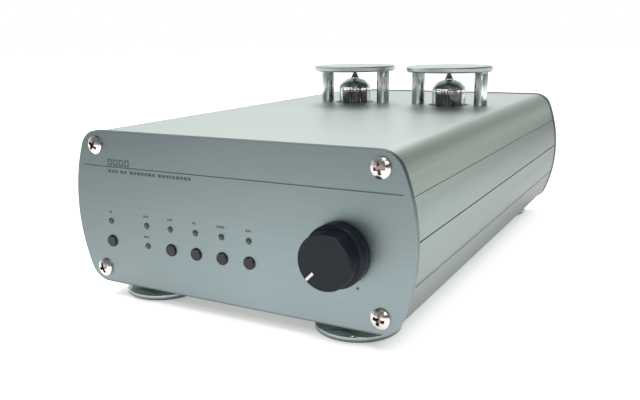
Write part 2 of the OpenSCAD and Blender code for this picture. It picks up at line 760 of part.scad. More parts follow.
module foot_screws() {
    color("silver") at_feet() translate([0, 0, foot_bore_z]) rotate([180, 0, 0])
        pan_screw(foot_screw_d, foot_screw_head_d, foot_screw_head_h, shell_floor - foot_bore_z + 3);
}

// XLR sockets
xlr_screw_x = 9.5;
xlr_screw_z = 12;
xlr_screw_d = 3;
xlr_body_d = xlr_hole_d - 0.6;
xlr_shell_d = 18.6;
xlr_body_y = case_depth - 22;
xlr_pin_r = 4;
xlr_pin_a = [0, 180, 270];
module xlr_flange(x) {
    difference() {
        box(x - xlr_flange_w / 2, x + xlr_flange_w / 2, case_depth, case_depth + xlr_flange_t,
            socket_h - xlr_flange_h / 2, socket_h + xlr_flange_h / 2);
        for (s = [-1, 1]) rod_y(x + s * xlr_screw_x, socket_h + s * xlr_screw_z,
            xlr_screw_d + 2 * fit_gap, case_depth - 1, case_depth + xlr_flange_t + 1);
    }
}
xlr_core_d = 14.8;
xlr_cup = 14;
contact_d = 3.2;
contact_back = case_depth - xlr_cup + 1;
latch_w = 5;
latch_t = 1.2;
latch_head_w = 9;
latch_head_up = 3.2;
latch_z = socket_h + xlr_shell_d / 2 + 0.2 + latch_t / 2;
latch_in = 12;
// The slot that the latch slides in, open to the cup below it.
module latch_room(gap) {
    box(mic_x - latch_w / 2 - gap, mic_x + latch_w / 2 + gap, case_depth - latch_in - gap - latch_travel,
        case_depth + xlr_flange_t + 1, socket_h + xlr_shell_d / 2 - latch_t, latch_z + latch_t / 2 + gap);
}
module mic_input() {
    color([0.15, 0.15, 0.16]) difference() {
        union() {
            xlr_flange(mic_x);
            rod_y(mic_x, socket_h, xlr_body_d, xlr_body_y, case_depth + eps);
        }
        rod_y(mic_x, socket_h, xlr_shell_d, case_depth - xlr_cup, case_depth + xlr_flange_t + 1);
        latch_room(face_gap);
    }
}
module mic_insert() {
    color([0.12, 0.12, 0.13]) difference() {
        rod_y(mic_x, socket_h, xlr_core_d, case_depth - xlr_cup, case_depth + xlr_flange_t - 1);
        for (a = xlr_pin_a) rod_y(mic_x + xlr_pin_r * cos(a), socket_h - xlr_pin_r * sin(a),
            contact_d, contact_back, case_depth + xlr_flange_t);
    }
}
// Sleeves for a plug's pins in the input, and pins in the output
line_pin_d = 2.4;
line_pin_back = case_depth - 18;
module xlr_contacts() {
    color("gold") {
        for (a = xlr_pin_a) difference() {
            rod_y(mic_x + xlr_pin_r * cos(a), socket_h - xlr_pin_r * sin(a), contact_d - 2 * fit_gap,
                contact_back, case_depth - 2);
            rod_y(mic_x + xlr_pin_r * cos(a), socket_h - xlr_pin_r * sin(a), 2.2,
                contact_back + 1, case_depth - 1);
        }
        for (a = xlr_pin_a) turned_y(line_x - xlr_pin_r * cos(a), socket_h - xlr_pin_r * sin(a))
            polygon([[0, line_pin_back], [line_pin_d / 2, line_pin_back], [line_pin_d / 2, case_depth - 2.6],
                [0.5, case_depth - 1.6], [0, case_depth - 1.6]]);
    }
}
module mic_latch() {
    head_y = case_depth + xlr_flange_t + face_gap + latch_travel;
    color("silver") union() {
        box(mic_x - latch_w / 2, mic_x + latch_w / 2, case_depth - latch_in, head_y + eps,
            latch_z - latch_t / 2, latch_z + latch_t / 2);
        box(mic_x - latch_head_w / 2, mic_x + latch_head_w / 2, head_y, head_y + latch_head_t,
            latch_z - latch_t / 2, latch_z - latch_t / 2 + latch_head_up);
    }
}
module line_output() {
    color([0.15, 0.15, 0.16]) difference() {
        union() {
            xlr_flange(line_x);
            rod_y(line_x, socket_h, xlr_body_d, xlr_body_y, case_depth + eps);
        }
        rod_y(line_x, socket_h, xlr_shell_d, case_depth - xlr_cup, case_depth + xlr_flange_t + 1);
        for (a = xlr_pin_a) rod_y(line_x - xlr_pin_r * cos(a), socket_h - xlr_pin_r * sin(a),
            line_pin_d + 2 * fit_gap, line_pin_back, contact_back);
    }
}
module socket_screws() {
    color("silver") for (x = [mic_x, line_x], s = [-1, 1])
        translate([x + s * xlr_screw_x, case_depth + xlr_flange_t, socket_h + s * xlr_screw_z]) rear_facing()
            pan_screw(xlr_screw_d, 5, socket_screw_head_h, xlr_flange_t + rear_panel_t + 3, 25);
}
module jack_output() {
    color([0.12, 0.12, 0.13]) difference() {
        union() {
            rod_y(jack_x, socket_h, jack_d, shell_y1 - 2, case_depth + 3);
            box(jack_x - 8, jack_x + 8, shell_y1 - 26, shell_y1, socket_h - 8, socket_h + 8);
            translate([jack_x, case_depth + 2, socket_h]) rotate([90, 0, 0]) cylinder(d = 17, h = 2, $fn = 6);
        }
        rod_y(jack_x, socket_h, 6.5, shell_y1 - 24, case_depth + 4);
    }
}

// Mains inlet with its blades, and a fuse drawer beneath the recess
recess_w = 24.4;
recess_h = 16.6;
recess_z = socket_h + 5.6;
recess_depth = 16;
drawer_w = 16;
drawer_h = 7;
drawer_z = socket_h - 10.4;
drawer_len = 20;
blade_places = [[-7, -1.5], [7, -1.5], [0, 2.5]];
module mains_inlet() {
    color([0.1, 0.1, 0.1]) {
        difference() {
            union() {
                box(inlet_x - inlet_w / 2, inlet_x + inlet_w / 2, inlet_back, case_depth + eps,
                    socket_h - inlet_h / 2, socket_h + inlet_h / 2);
                box(inlet_x - inlet_flange_w / 2, inlet_x + inlet_flange_w / 2, case_depth,
                    case_depth + inlet_flange_t, socket_h - inlet_flange_h / 2, socket_h + inlet_flange_h / 2);
            }
            along_y(case_depth - recess_depth, case_depth + inlet_flange_t + 1) translate([inlet_x, recess_z])
                polygon([[-recess_w / 2, -recess_h / 2], [recess_w / 2, -recess_h / 2],
                    [recess_w / 2, recess_h / 2 - 4.5], [recess_w / 2 - 4.5, recess_h / 2],
                    [-recess_w / 2 + 4.5, recess_h / 2], [-recess_w / 2, recess_h / 2 - 4.5]]);
            box(inlet_x - drawer_w / 2 - face_gap, inlet_x + drawer_w / 2 + face_gap,
                case_depth + inlet_flange_t - drawer_len - face_gap, case_depth + inlet_flange_t + 1,
                drawer_z - drawer_h / 2 - face_gap, drawer_z + drawer_h / 2 + face_gap);
        }
        for (p = blade_places) box(inlet_x + p[0] - 1, inlet_x + p[0] + 1, case_depth - recess_depth - 1,
            case_depth - 2, recess_z + p[1] - 2, recess_z + p[1] + 2);
    }
}
module fuse_drawer() {
    color([0.16, 0.16, 0.16]) difference() {
        union() {
            box(inlet_x - drawer_w / 2, inlet_x + drawer_w / 2, case_depth + inlet_flange_t - drawer_len,
                case_depth + inlet_flange_t, drawer_z - drawer_h / 2, drawer_z + drawer_h / 2);
            box(inlet_x - 4, inlet_x + 4, case_depth + inlet_flange_t - eps,
                case_depth + inlet_flange_t + fuse_grip, drawer_z + drawer_h / 2 - 2.5, drawer_z + drawer_h / 2);
        }
        box(inlet_x - drawer_w / 2 + 1.5, inlet_x + drawer_w / 2 - 1.5,
            case_depth + inlet_flange_t - drawer_len + 2, case_depth - 2,
            drawer_z - drawer_h / 2 + 1.2, drawer_z + drawer_h / 2 + 1);
    }
}

place() front_panel();
place() rear_panel();
place() top_shell();
place() bottom_shell();
place() front_screws();
place() rear_screws();
place() gain_knob();
place() knob_pointer();
place() knob_set_screw();
place() pot_shaft();
place() gain_pot();
place() pot_washer();
place() pot_nut();
place() power_button();
place() phantom_button();
place() pad_button();
place() phase_button();
place() low_cut_button();
place() button_switches();
place() front_board();
place() front_standoffs();
place() front_board_screws();
place() power_lamp();
place() level_lamps();
place() mode_lamps();
place() main_board();
place() main_standoffs();
place() main_board_screws();
place() mode_relays();
place() film_capacitors();
place() reservoir_capacitors();
place() mains_transformer();
place() transformer_plate();
place() transformer_bolt();
place() valve_board();
place() valve_standoffs();
place() valve_board_screws();
place() valve_sockets();
place() valve_pins();
place() left_valve_glass();
place() right_valve_glass();
place() valve_anodes();
place() valve_spacers();
place() valve_getters();
place() left_guard_disc();
place() right_guard_disc();
place() guard_posts();
place() guard_screws();
place() feet();
place() foot_pads();
place() foot_screws();
place() mic_input();
place() mic_insert();
place() mic_latch();
place() line_output();
place() xlr_contacts();
place() socket_screws();
place() mains_inlet();
place() fuse_drawer();
place() jack_output();
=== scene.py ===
import math

import bmesh
import bpy
from mathutils import Matrix, Vector


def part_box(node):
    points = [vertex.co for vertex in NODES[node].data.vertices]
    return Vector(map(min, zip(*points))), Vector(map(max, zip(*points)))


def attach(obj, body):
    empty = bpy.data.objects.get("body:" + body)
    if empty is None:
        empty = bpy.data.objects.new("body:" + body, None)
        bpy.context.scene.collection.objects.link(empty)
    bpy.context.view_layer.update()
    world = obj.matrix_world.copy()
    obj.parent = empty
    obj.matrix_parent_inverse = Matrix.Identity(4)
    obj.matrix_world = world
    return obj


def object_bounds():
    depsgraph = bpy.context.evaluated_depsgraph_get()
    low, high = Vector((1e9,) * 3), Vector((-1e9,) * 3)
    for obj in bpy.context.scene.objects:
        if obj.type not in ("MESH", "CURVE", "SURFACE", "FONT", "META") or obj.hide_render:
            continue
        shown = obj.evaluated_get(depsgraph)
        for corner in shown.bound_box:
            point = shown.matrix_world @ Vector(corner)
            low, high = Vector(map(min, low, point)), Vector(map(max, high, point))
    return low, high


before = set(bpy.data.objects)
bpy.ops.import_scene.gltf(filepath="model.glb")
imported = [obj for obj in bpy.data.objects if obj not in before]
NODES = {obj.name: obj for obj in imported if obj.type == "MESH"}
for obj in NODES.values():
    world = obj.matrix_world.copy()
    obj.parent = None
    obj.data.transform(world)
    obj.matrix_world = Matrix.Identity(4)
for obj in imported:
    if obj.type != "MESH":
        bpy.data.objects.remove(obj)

# The looks of a desktop microphone preamp. Everything is in metres, in the CAD's own frame:
# +X to the right of the front panel, +Y towards the rear, +Z up, and the floor at z = 0.

MM = 0.001

# Sizes that the CAD nodes' boxes don't give, in millimetres. They match the CAD's own values.
SCREW_HEAD_DIAMETER = 9.2
GLASS_TIP = 4.7
GLASS_SHOULDER = 7
PANEL_HEIGHT = 80
ENGRAVED_HEIGHT = 62.1

# How far above and below the engraved line its own tone may reach, in millimetres
ENGRAVED_REACH = 0.5

# The sockets of a Mix node that carry colours
MIX_A, MIX_B, MIX_RESULT = 6, 7, 2

CAD_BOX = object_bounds()
PANEL_LO, PANEL_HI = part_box("front_panel")
FACE_Y = PANEL_LO.y
PANEL_Z = PANEL_LO.z


def on_panel(x, z, out=0.0):
    """A point on the front panel's face, from x and height on the panel in millimetres."""
    return Vector((x * MM, FACE_Y - out * MM, PANEL_Z + z * MM))


def centre(node):
    """The middle of a CAD node's box."""
    lo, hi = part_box(node)
    return (Vector(lo) + Vector(hi)) / 2


# ---------------------------------------------------------------- materials

class Nodes:
    """Short helpers that add procedural nodes to one node tree."""

    def __init__(self, tree):
        self.tree = tree

    def add(self, kind, **values):
        node = self.tree.nodes.new(kind)
        for key, value in values.items():
            setattr(node, key, value)
        return node

    def link(self, out, node_in):
        self.tree.links.new(out, node_in)

    def coords(self, scale=(1, 1, 1), origin=(0, 0, 0)):
        """Object coordinates about origin, stretched by scale."""
        place = self.add("ShaderNodeTexCoord")
        shift = self.add("ShaderNodeVectorMath", operation="SUBTRACT")
        self.link(place.outputs["Object"], shift.inputs[0])
        shift.inputs[1].default_value = origin
        grow = self.add("ShaderNodeVectorMath", operation="MULTIPLY")
        self.link(shift.outputs[0], grow.inputs[0])
        grow.inputs[1].default_value = scale
        return grow.outputs[0]

    def noise(self, vector, detail=3.0, rough=0.55):
        tex = self.add("ShaderNodeTexNoise")
        tex.inputs["Scale"].default_value = 1.0
        tex.inputs["Detail"].default_value = detail
        tex.inputs["Roughness"].default_value = rough
        self.link(vector, tex.inputs["Vector"])
        return tex.outputs["Fac"]

    def math(self, operation, a, b=0.0):
        node = self.add("ShaderNodeMath", operation=operation)
        for value, socket in ((a, node.inputs[0]), (b, node.inputs[1])):
            if isinstance(value, (int, float)):
                socket.default_value = value
            else:
                self.link(value, socket)
        return node.outputs[0]

    def spread(self, fac, low, high, start=0.0, end=1.0):
        """Maps fac from start..end to low..high."""
        node = self.add("ShaderNodeMapRange")
        self.link(fac, node.inputs["Value"])
        node.inputs["From Min"].default_value = start
        node.inputs["From Max"].default_value = end
        node.inputs["To Min"].default_value = low
        node.inputs["To Max"].default_value = high
        return node.outputs["Result"]

    def ramp(self, fac, stops):
        """Colours along fac; stops are (position, colour)."""
        node = self.add("ShaderNodeValToRGB")
        band = node.color_ramp
        while len(band.elements) < len(stops):
            band.elements.new(1.0)
        for element, (place, colour) in zip(band.elements, stops):
            element.position = place
            element.color = (*colour, 1.0)
        self.link(fac, node.inputs["Fac"])
        return node.outputs["Color"]

    def mix(self, fac, a, b):
        node = self.add("ShaderNodeMix", data_type="RGBA")
        self.link(fac, node.inputs["Factor"])
        for value, key in ((a, MIX_A), (b, MIX_B)):
            if isinstance(value, tuple):
                node.inputs[key].default_value = (*value, 1.0)
            else:
                self.link(value, node.inputs[key])
        return node.outputs[MIX_RESULT]

    def multiply(self, a, b):
        """Multiplies two colours."""
        node = self.add("ShaderNodeMix", data_type="RGBA", blend_type="MULTIPLY")
        node.inputs["Factor"].default_value = 1.0
        self.link(a, node.inputs[MIX_A])
        self.link(b, node.inputs[MIX_B])
        return node.outputs[MIX_RESULT]

    def tint(self, colour, factor):
        """Multiplies a colour by a number."""
        node = self.add("ShaderNodeVectorMath", operation="SCALE")
        self.link(colour, node.inputs[0])
        self.link(factor, node.inputs["Scale"])
        return node.outputs[0]

    def axis(self, vector, name):
        """One component of a vector."""
        split = self.add("ShaderNodeSeparateXYZ")
        self.link(vector, split.inputs[0])
        return split.outputs[name]


class Shader(Nodes):
    """A Principled material, fed by procedural nodes."""

    def __init__(self, name, **plain):
        self.mat = bpy.data.materials.new(name)
        self.mat.use_nodes = True
        super().__init__(self.mat.node_tree)
        self.bsdf = self.tree.nodes["Principled BSDF"]
        for key, value in plain.items():
            self.bsdf.inputs[key.replace("_", " ")].default_value = value

    def feed(self, key, out):
        self.link(out, self.bsdf.inputs[key])

    def bump(self, height, strength, distance, rounding=0.0):
        """Bump from height; rounding, in metres, also softens the shading of hard edges."""
        node = self.add("ShaderNodeBump")
        if rounding:
            edge = self.add("ShaderNodeBevel", samples=6)
            edge.inputs["Radius"].default_value = rounding
            self.link(edge.outputs["Normal"], node.inputs["Normal"])
        node.inputs["Strength"].default_value = strength
        node.inputs["Distance"].default_value = distance
        self.link(height, node.inputs["Height"])
        self.feed("Normal", node.outputs["Normal"])


def shades(colour, amount):
    """A darker and a lighter shade of a colour, for the two ends of a ramp."""
    return tuple(c * (1 - amount) for c in colour), tuple(min(1.0, c * (1 + amount)) for c in colour)


def brushed(name, colour, grain):
    """Brushed, anodised metal. grain is the stretch of its lines, per metre along each axis.

    Painted shade makes it darker towards its top, towards its left end and along its bottom edge.
    What was cut into the front panel behind its face is darker still, with painted shade: the rim,
    the engraved line and the holes.
    """
    look = Shader(name, Metallic=1.0)
    lines = look.noise(look.coords(grain), detail=4.0, rough=0.7)
    cloud = look.noise(look.coords((14, 14, 14)), detail=2.0)
    both = look.math("ADD", look.math("MULTIPLY", lines, 0.75), look.math("MULTIPLY", cloud, 0.25))
    dark, light = shades(colour, 0.1)
    tone = look.ramp(both, ((0.3, dark), (0.7, light)))
    place = look.coords(origin=(0, FACE_Y, PANEL_Z))
    x, y, z = (look.axis(place, letter) for letter in "XYZ")
    # Painted shade: darker towards the top of the panel and towards its left end
    tone = look.tint(tone, look.spread(z, 1.0, 0.66, 8 * MM, PANEL_HEIGHT * MM))
    tone = look.tint(tone, look.spread(x, 0.74, 0.95, -95 * MM, 15 * MM))
    # Painted shade: a thin dark band along the panel's bottom edge
    tone = look.tint(tone, look.spread(z, 0.55, 1.0, 0.3 * MM, 0.9 * MM))
    # Painted shade on what was cut behind the front panel's face: the rim, the holes and the engraved
    # line
    behind = look.spread(y, 0.0, 1.0, 0.12 * MM, 0.4 * MM)
    in_front_panel = look.math("LESS_THAN", y, PANEL_HI.y - FACE_Y + 1 * MM)
    cut = look.math("MULTIPLY", behind, in_front_panel)
    # The painted shade of the rim and the holes grows darker higher up
    height = look.spread(z, 0.0, 1.0, 12 * MM, 62 * MM)
    rim = look.ramp(height, ((0.0, (0.17, 0.21, 0.215)), (0.9, (0.09, 0.115, 0.115))))
    # The engraved line gets its own painted shade, lighter than the rim's
    off_line = look.math("ABSOLUTE", look.math("SUBTRACT", z, ENGRAVED_HEIGHT * MM))
    engraved = look.math("MULTIPLY", look.math("LESS_THAN", off_line, ENGRAVED_REACH * MM),
                         look.math("LESS_THAN", look.math("ABSOLUTE", x), PANEL_HI.x - 5 * MM))
    look.feed("Base Color", look.mix(cut, tone, look.mix(engraved, rim, (0.16, 0.2, 0.2))))
    look.feed("Roughness", look.spread(lines, 0.34, 0.5))
    look.bump(lines, 0.12, 0.00005, rounding=0.3 * MM)
    return look.mat


def satin_shell(name, colour):
    """A bead-blasted, anodised extrusion: die lines along Y under a fine grain.

    Painted shade makes its sides darker than its deck, more so towards the rear, and darkens its
    lower roundings too.
    """
    look = Shader(name, Metallic=1.0)
    die = look.noise(look.coords((420, 1.5, 420)), detail=3.0, rough=0.6)
    grain = look.noise(look.coords((2200, 2200, 2200)), detail=2.0)
    cloud = look.noise(look.coords((9, 5, 9)), detail=2.0)
    dark, light = shades(colour, 0.07)
    fac = look.math("ADD", look.math("MULTIPLY", die, 0.55), look.math("MULTIPLY", cloud, 0.45))
    above_panel_foot = look.axis(look.coords(origin=(0, 0, PANEL_Z)), "Z")
    height = look.spread(above_panel_foot, 0.0, 1.0, 0.0, PANEL_HEIGHT * MM)
    # Painted shade by height: the sides darker than the deck, darkest low down
    painted_height_shade = look.ramp(height, ((0.0, (0.34, 0.365, 0.355)), (0.3, (0.39, 0.42, 0.41)),
                                   (0.7, (0.455, 0.5, 0.485)), (0.86, (0.79, 0.86, 0.78)),
                                   (0.96, (0.79, 0.86, 0.78)), (0.99, (0.85, 0.88, 0.87))))
    tone = look.multiply(look.ramp(fac, ((0.3, dark), (0.7, light))), painted_height_shade)
    # Painted shade: the sides darken towards the rear
    rearward = look.spread(look.axis(look.coords(), "Y"), 0.07, 0.42, -110 * MM, 110 * MM)
    on_side = look.spread(height, 1.0, 0.0, 0.74, 0.86)
    tone = look.tint(tone, look.math("SUBTRACT", 1.0, look.math("MULTIPLY", rearward, on_side)))
    # Painted shade on the lower roundings, by which way they face
    faces = look.add("ShaderNodeNewGeometry")
    facing = look.spread(look.axis(faces.outputs["Normal"], "Z"), 0.0, 1.0, -1.0, 0.0)
    rounding_shade = look.ramp(facing, ((0.04, (1.0, 1.0, 1.0)), (0.2, (0.4, 0.4, 0.38)),
                                        (0.52, (0.45, 0.45, 0.43)), (0.8, (1.0, 1.0, 1.0))))
    look.feed("Base Color", look.multiply(tone, rounding_shade))
    look.feed("Roughness", look.spread(die, 0.36, 0.5))
    relief = look.math("ADD", look.math("MULTIPLY", die, 0.6), look.math("MULTIPLY", grain, 0.4))
    look.bump(relief, 0.16, 0.00006)
    return look.mat


def polished(name, colour, rough, scratches=(900, 900, 30)):
    """Polished or plated metal with faint wiping marks and slight tarnish."""
    look = Shader(name, Metallic=1.0)
    marks = look.noise(look.coords(scratches), detail=3.0, rough=0.65)
    haze = look.noise(look.coords((120, 120, 120)), detail=3.0)
    dark, light = shades(colour, 0.12)
    look.feed("Base Color", look.ramp(haze, ((0.3, dark), (0.65, light))))
    wear = look.math("MULTIPLY", marks, haze)
    look.feed("Roughness", look.spread(wear, rough[0], rough[1], 0.1, 0.45))
    look.bump(marks, 0.05, 0.00004)
    return look.mat


def screw_heads(name, colour, recess_r, head_top):
    """Nickel-plated screws whose recesses are darkened with painted shade.

    recess_r is the radius that holds the recess, and head_top is how far below the top of its
    head it begins, both in millimetres. The four screws of a panel lie evenly about its middle, so
    one mask serves them all.
    """
    look = Shader(name, Metallic=1.0)
    lo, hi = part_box("front_screws")
    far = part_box("rear_screws")[1]
    middle = ((lo.x + hi.x) / 2, (lo.y + far.y) / 2, (lo.z + hi.z) / 2)
    head_r = SCREW_HEAD_DIAMETER * MM / 2
    place = look.coords(origin=middle)
    x, y, z = (look.math("ABSOLUTE", look.axis(place, letter)) for letter in "XYZ")
    across = look.math("SUBTRACT", x, (hi.x - lo.x) / 2 - head_r)
    up = look.math("SUBTRACT", z, (hi.z - lo.z) / 2 - head_r)
    squares = look.math("ADD", look.math("POWER", across, 2.0), look.math("POWER", up, 2.0))
    apart = look.math("SQRT", squares)
    depth = look.math("SUBTRACT", (far.y - lo.y) / 2, y)
    # Painted shade: the cross recesses, from a little below the top of each head, are dark
    inside = look.math("MULTIPLY", look.math("LESS_THAN", apart, recess_r * MM),
                       look.spread(depth, 0.0, 1.0, head_top * MM, (head_top + 0.25) * MM))
    haze = look.noise(look.coords((260, 260, 260)), detail=3.0)
    dark, light = shades(colour, 0.14)
    tone = look.ramp(haze, ((0.3, dark), (0.65, light)))
    look.feed("Base Color", look.mix(inside, tone, (0.24, 0.19, 0.16)))
    look.feed("Roughness", look.spread(haze, 0.08, 0.26, 0.3, 0.7))
    look.bump(haze, 0.08, 0.00005)
    return look.mat


def chromed_foot(name, colour):
    """Chrome with light wiping marks; painted shade darkens its lower edge, close to the desk."""
    look = Shader(name, Metallic=1.0)
    marks = look.noise(look.coords((500, 500, 500)), detail=3.0, rough=0.65)
    dark, light = shades(colour, 0.12)
    tone = look.ramp(marks, ((0.3, dark), (0.65, light)))
    height = look.axis(look.coords(), "Z")
    # Painted shade: darker towards the foot's lower edge
    look.feed("Base Color", look.tint(tone, look.spread(height, 0.12, 1.0, 1.2 * MM, 3.0 * MM)))
    look.feed("Roughness", look.spread(marks, 0.06, 0.16, 0.3, 0.7))
    look.bump(marks, 0.03, 0.00004)
    return look.mat


def turned(name, colour, middle):
    """Metal faced on a lathe: fine rings about an upright axis through middle."""
    look = Shader(name, Metallic=1.0)
    flat = look.coords((1, 1, 0), middle)
    length = look.add("ShaderNodeVectorMath", operation="LENGTH")
    look.link(flat, length.inputs[0])
    rings_per_metre = 5200.0
    ring = look.math("SINE", look.math("MULTIPLY", length.outputs["Value"], rings_per_metre))
    wander = look.noise(look.coords((420, 420, 420)), detail=2.0)
    fac = look.math("ADD", look.math("MULTIPLY", ring, 0.2), wander)
    dark, light = shades(colour, 0.05)
    look.feed("Base Color", look.ramp(fac, ((0.25, dark), (0.75, light))))
    look.feed("Roughness", look.spread(fac, 0.3, 0.36, 0.2, 0.8))
    look.bump(ring, 0.08, 0.00004, rounding=0.2 * MM)
    return look.mat


def moulded(name, colour, rough=(0.3, 0.45), grain=1800.0, strength=0.12, gloss=0.5):
    """Moulded plastic: a fine pebbled skin, slight colour clouding and handling marks."""
    look = Shader(name, Specular_IOR_Level=gloss)
    pebble = look.noise(look.coords((grain, grain, grain)), detail=2.0)
    smear = look.noise(look.coords((90, 60, 130)), detail=4.0, rough=0.6)
    dark, light = shades(colour, 0.18)
    look.feed("Base Color", look.ramp(smear, ((0.3, dark), (0.7, light))))
    look.feed("Roughness", look.spread(smear, rough[0], rough[1], 0.3, 0.7))
    look.bump(pebble, strength, 0.00003)
    return look.mat


def circuit_board(name):
    """Green solder mask over tracks that run square to one another."""
    look = Shader(name, Roughness=0.35)
    bricks = look.add("ShaderNodeTexBrick")
    look.link(look.coords((160, 160, 160)), bricks.inputs["Vector"])
    bricks.inputs["Color1"].default_value = (0.012, 0.09, 0.035, 1)
    bricks.inputs["Color2"].default_value = (0.016, 0.12, 0.045, 1)
    bricks.inputs["Mortar"].default_value = (0.05, 0.24, 0.09, 1)
    bricks.inputs["Mortar Size"].default_value = 0.03
    fleck = look.noise(look.coords((500, 500, 500)), detail=2.0)
    look.feed("Base Color", look.mix(look.spread(fleck, 0.0, 0.25, 0.4, 0.7), bricks.outputs["Color"],
                                     (0.02, 0.14, 0.05)))
    look.bump(bricks.outputs["Fac"], 0.2, 0.0001)
    return look.mat


def clear_glass(name):
    """Valve glass: clear, with faint draw lines, a little dust and a drawn-out tip darkened with
    painted shade.
    """
    look = Shader(name, IOR=1.48, Transmission_Weight=1.0)
    draw = look.noise(look.coords((260, 260, 12)), detail=2.0)
    dust = look.noise(look.coords((1500, 1500, 1500)), detail=2.0)
    clear = look.ramp(draw, ((0.3, (0.93, 0.95, 0.94)), (0.7, (1.0, 1.0, 1.0))))
    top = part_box("left_valve_glass")[1].z
    below_top = look.axis(look.coords(origin=(0, 0, top)), "Z")
    # Painted shade on the drawn-out tip: the glass there is coloured dark
    tip = look.spread(below_top, 0.0, 1.0, -GLASS_TIP * MM, (0.4 - GLASS_TIP) * MM)
    look.feed("Base Color", look.mix(tip, clear, (0.12, 0.15, 0.14)))
    look.feed("Roughness", look.spread(dust, 0.01, 0.06, 0.45, 0.7))
    look.bump(draw, 0.05, 0.0001)
    return look.mat


def getter_mirror(name, top_z):
    """The getter's deposit: a dark silver mirror that turns brown towards its lower edge."""
    look = Shader(name, Metallic=1.0)
    height = look.axis(look.coords(origin=(0, 0, top_z)), "Z")
    patch = look.noise(look.coords((330, 330, 330)), detail=4.0, rough=0.6)
    level = look.math("ADD", look.spread(height, 0.0, 1.0, -6 * MM, 0.0),
                      look.spread(patch, -0.25, 0.25))
    look.feed("Base Color", look.ramp(level, ((0.1, (0.2, 0.14, 0.1)), (0.3, (0.4, 0.36, 0.32)),
                                              (0.7, (0.66, 0.66, 0.64)))))
    look.feed("Roughness", look.spread(patch, 0.08, 0.3, 0.3, 0.7))
    return look.mat


def tinted_lens(name, colour):
    """An unlit lamp: tinted, cloudy resin."""
    look = Shader(name, Transmission_Weight=0.25, IOR=1.5)
    cloud = look.noise(look.coords((900, 900, 900)), detail=3.0)
    dark, light = shades(colour, 0.25)
    look.feed("Base Color", look.ramp(cloud, ((0.3, dark), (0.7, light))))
    look.feed("Roughness", look.spread(cloud, 0.12, 0.28))
    return look.mat


def winding_tape(name, middle):
    """Overlapping polyester tape wound round a toroid."""
    look = Shader(name, Specular_IOR_Level=0.55)
    split = look.add("ShaderNodeSeparateXYZ")
    look.link(look.coords(origin=middle), split.inputs[0])
    angle = look.math("ARCTAN2", split.outputs["Y"], split.outputs["X"])
    laps = 44.0
    lap = look.math("SINE", look.math("MULTIPLY", angle, laps))
    blotch = look.noise(look.coords((150, 150, 150)), detail=3.0)
    fac = look.math("ADD", look.math("MULTIPLY", lap, 0.3), blotch)
    look.feed("Base Color", look.ramp(fac, ((0.25, (0.42, 0.26, 0.03)), (0.8, (0.75, 0.52, 0.1)))))
    look.feed("Roughness", look.spread(fac, 0.25, 0.45, 0.2, 0.8))
    look.bump(lap, 0.3, 0.0002)
    return look.mat


def printed(name, colour):
    """Screen-printed ink, a little uneven where it lies over the brushed lines."""
    look = Shader(name)
    wear = look.noise(look.coords((900, 900, 4000)), detail=3.0)
    dark, light = shades(colour, 0.25)
    look.feed("Base Color", look.ramp(wear, ((0.3, dark), (0.7, light))))
    look.feed("Roughness", look.spread(wear, 0.4, 0.6))
    return look.mat


# ---------------------------------------------------------------- pieces

def new_piece(name, bm, material, body="case", smooth=True):
    """Turns bm into a piece that rides on a body."""
    mesh = bpy.data.meshes.new(name)
    bm.normal_update()
    bm.to_mesh(mesh)
    bm.free()
    for face in mesh.polygons:
        face.use_smooth = smooth
    obj = bpy.data.objects.new(name, mesh)
    bpy.context.scene.collection.objects.link(obj)
    mesh.materials.append(material)
    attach(obj, body)
    return obj


def paint(nodes, material):
    """Gives CAD nodes a material."""
    for name in nodes:
        data = NODES[name].data
        data.materials.clear()
        data.materials.append(material)


def soften(nodes, width, segments=2):
    """Rounds CAD nodes' hard edges with modifiers. width is in millimetres."""
    for name in nodes:
        obj = NODES[name]
        weld = obj.modifiers.new("weld", "WELD")
        weld.merge_threshold = 0.001 * MM
        bevel = obj.modifiers.new("bevel", "BEVEL")
        bevel.width = width * MM
        bevel.segments = segments
        bevel.limit_method = "ANGLE"
        bevel.angle_limit = math.radians(30)
        bevel.harden_normals = True


def bar(bm, lo, hi):
    """A box between two corners."""
    size = hi - lo
    place = Matrix.Translation((lo + hi) / 2) @ Matrix.Diagonal((*size, 1.0))
    bmesh.ops.create_cube(bm, size=1.0, matrix=place)


# ---------------------------------------------------------------- paint the CAD nodes

VALVES = ("left", "right")
MIDDLE = {side: centre(f"{side}_valve_glass") for side in VALVES}

panel_metal = brushed("panel_metal", (0.272, 0.33, 0.338), (8, 8, 2600))
shell_metal = satin_shell("shell_metal", (0.6, 0.66, 0.635))
screw_metal = screw_heads("screw_metal", (0.7, 0.67, 0.64), recess_r=3.0, head_top=0.55)
steel = polished("steel", (0.56, 0.56, 0.55), (0.18, 0.36))
post_metal = polished("post_metal", (0.66, 0.71, 0.7), (0.2, 0.34), (1800, 1800, 40))
foot_chrome = chromed_foot("foot_chrome", (0.37, 0.42, 0.41))
gold = polished("gold_plate", (0.85, 0.6, 0.24), (0.14, 0.3))
knob_skin = moulded("knob_skin", (0.0062, 0.0105, 0.0165), (0.3, 0.4), 2400.0, 0.1, 0.2)
button_skin = moulded("button_skin", (0.007, 0.009, 0.011), (0.28, 0.42), 2400.0, 0.08, 0.4)
white_ink = moulded("white_ink", (0.82, 0.82, 0.8), (0.35, 0.5), 3000.0, 0.05)
black_moulding = moulded("black_moulding", (0.018, 0.018, 0.02), (0.28, 0.42))
relay_case = moulded("relay_case", (0.02, 0.022, 0.028), (0.2, 0.32))
film_case = moulded("film_case", (0.42, 0.035, 0.025), (0.2, 0.34), 900.0)
sleeve = moulded("sleeve", (0.02, 0.03, 0.11), (0.2, 0.3), 700.0)
rubber = moulded("rubber", (0.018, 0.018, 0.018), (0.6, 0.8), 1300.0, 0.3, 0.3)
